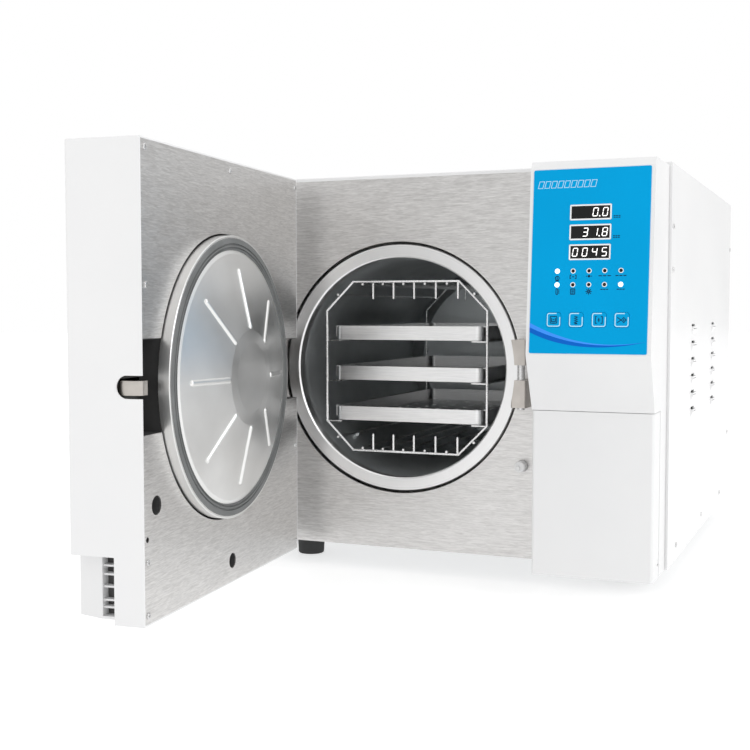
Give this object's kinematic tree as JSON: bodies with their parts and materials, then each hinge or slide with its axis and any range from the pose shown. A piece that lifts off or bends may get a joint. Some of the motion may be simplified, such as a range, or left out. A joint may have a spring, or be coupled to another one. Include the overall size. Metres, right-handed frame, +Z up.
{
  "type": "benchtop autoclave",
  "caption": "Benchtop steam autoclave: round pressure chamber with a wire rack of slide-out trays, a side-hinged door carrying a dished lid, and a keypad housing on the right.",
  "frame": {"origin": "on the floor plane of the feet, under the middle of the cabinet body", "axes": "+Z up, +Y towards the back, +X to the right seen from the front; door stored open"},
  "size_m": [0.5004, 0.9622, 0.46],
  "materials": {
    "white_enamel": "fine satin powder coat",
    "white_plastic": "fine satin moulded plastic",
    "brushed_stainless": "horizontal brushed grain",
    "polished_stainless": "smooth turned steel",
    "pressed_stainless": "satin pressed steel",
    "chamber_stainless": "satin deep drawn steel",
    "rack_wire": "electropolished wire",
    "tray_sheet": "fine brushed sheet",
    "nickel": "satin nickel",
    "bright_steel": "ground steel",
    "galvanised": "dull zinc plate",
    "black_rubber": "matt rubber",
    "silicone_seal": "matt silicone",
    "lagging": "glass cloth",
    "brass": "plain",
    "copper": "drawn copper tube",
    "fins": "plain",
    "black_plastic": "moulded",
    "grey_plastic": "moulded",
    "tank_plastic": "translucent polyethylene",
    "label_film": "printed polyester film",
    "display_glass": "smoked window",
    "lamp_lens": "clear lens",
    "key_film": "embossed film",
    "circuit_board": "solder mask",
    "filter_blue": "moulded"
  },
  "bodies": {
    "cabinet": {"base_tray": "galvanised", "front_plate": "brushed_stainless", "top_cover": "white_enamel", "left_side_panel": "white_enamel", "right_side_panel": "white_enamel", "rear_panel": "white_enamel", "rubber_feet": "black_rubber", "cabinet_screws": "bright_steel", "chamber_vessel": "chamber_stainless", "chamber_flange": "polished_stainless", "chamber_lagging": "lagging", "chamber_saddles": "galvanised", "steam_generator": "pressed_stainless", "safety_valve": "brass", "water_tank": "tank_plastic", "vacuum_pump": "grey_plastic", "condenser_coil": "fins", "fan_frame": "black_plastic", "solenoid_valves": "brass", "copper_pipes": "copper", "main_board": "circuit_board", "display_board": "circuit_board", "power_inlet": "black_plastic", "drain_fittings": "brass", "hinge_bracket": "nickel", "hinge_pin": "bright_steel", "latch_clevis": "nickel", "latch_pin": "bright_steel", "door_switch_body": "black_plastic", "control_housing": "white_plastic", "label_overlay": "label_film", "display_windows": "display_glass", "indicator_lamps": "lamp_lens", "drain_valve_body": "brass", "bacterial_filter": "filter_blue", "tray_rack": "rack_wire"},
    "door": {"door_cover": "white_enamel", "door_inner_plate": "brushed_stainless", "door_yoke": "galvanised", "hinge_bush": "brass", "pressure_disc": "pressed_stainless", "door_gasket": "silicone_seal", "disc_stud": "bright_steel", "door_grip": "white_plastic", "latch_motor": "grey_plastic", "door_screws": "bright_steel"},
    "latch_hook": {"latch_hook": "nickel"},
    "fan_rotor": {"cooling_fan_rotor": "black_plastic"},
    "switch_plunger": {"door_switch_plunger": "white_plastic"},
    "service_door": {"service_door": "white_plastic"},
    "drain_knob": {"drain_knob": "black_plastic"},
    "power_rocker": {"power_switch_rocker": "black_plastic"},
    "tank_lid": {"tank_lid": "white_plastic"},
    "key_1": {"key_1": "key_film"},
    "key_2": {"key_2": "key_film"},
    "key_3": {"key_3": "key_film"},
    "key_4": {"key_4": "key_film"},
    "tray_top": {"tray_top": "tray_sheet"},
    "tray_middle": {"tray_middle": "tray_sheet"},
    "tray_bottom": {"tray_bottom": "tray_sheet"}
  },
  "joints": [
    {"name": "door_hinge", "type": "hinge", "parent": "cabinet", "child": "door", "pos_m": [-0.21484, -0.34075, 0.231], "axis": [0, 0, 1], "range_deg": [-8, 85]},
    {"name": "latch_turn", "type": "hinge", "parent": "door", "child": "latch_hook", "pos_m": [-0.17332, -0.64613, 0.23], "axis": [0, 0, 1], "range_deg": [0, 10]},
    {"name": "fan_spin", "type": "hinge", "parent": "cabinet", "child": "fan_rotor", "pos_m": [0.1, 0.253, 0.275], "axis": [0, 1, 0], "continuous": true},
    {"name": "switch_press", "type": "slide", "parent": "cabinet", "child": "switch_plunger", "axis": [0, 1, 0], "range_m": [0, 0.004], "stiffness_N_per_m": 600, "springref_m": -0.002},
    {"name": "service_door_hinge", "type": "hinge", "parent": "cabinet", "child": "service_door", "pos_m": [0.2413, -0.3135, 0.11], "axis": [0, 0, 1], "range_deg": [0, 95]},
    {"name": "drain_turn", "type": "hinge", "parent": "cabinet", "child": "drain_knob", "pos_m": [0.183, -0.3, 0.08], "axis": [0, 1, 0], "range_deg": [0, 270]},
    {"name": "power_rock", "type": "hinge", "parent": "cabinet", "child": "power_rocker", "pos_m": [0.19, 0.2695, 0.1095], "axis": [-1, 0, 0], "range_deg": [0, 14]},
    {"name": "lid_lift", "type": "slide", "parent": "cabinet", "child": "tank_lid", "axis": [0, 0, 1], "range_m": [0, 0.04]},
    {"name": "key_1_press", "type": "slide", "parent": "cabinet", "child": "key_1", "axis": [0, 0.996, -0.0888], "range_m": [0, 0.0006], "stiffness_N_per_m": 800, "springref_m": -0.0005},
    {"name": "key_2_press", "type": "slide", "parent": "cabinet", "child": "key_2", "axis": [0, 0.996, -0.0888], "range_m": [0, 0.0006], "stiffness_N_per_m": 800, "springref_m": -0.0005},
    {"name": "key_3_press", "type": "slide", "parent": "cabinet", "child": "key_3", "axis": [0, 0.996, -0.0888], "range_m": [0, 0.0006], "stiffness_N_per_m": 800, "springref_m": -0.0005},
    {"name": "key_4_press", "type": "slide", "parent": "cabinet", "child": "key_4", "axis": [0, 0.996, -0.0888], "range_m": [0, 0.0006], "stiffness_N_per_m": 800, "springref_m": -0.0005},
    {"name": "tray_top_slide", "type": "slide", "parent": "cabinet", "child": "tray_top", "axis": [0, 1, 0], "range_m": [-0.12, 0]},
    {"name": "tray_middle_slide", "type": "slide", "parent": "cabinet", "child": "tray_middle", "axis": [0, 1, 0], "range_m": [-0.12, 0]},
    {"name": "tray_bottom_slide", "type": "slide", "parent": "cabinet", "child": "tray_bottom", "axis": [0, 1, 0], "range_m": [-0.12, 0]}
  ]
}
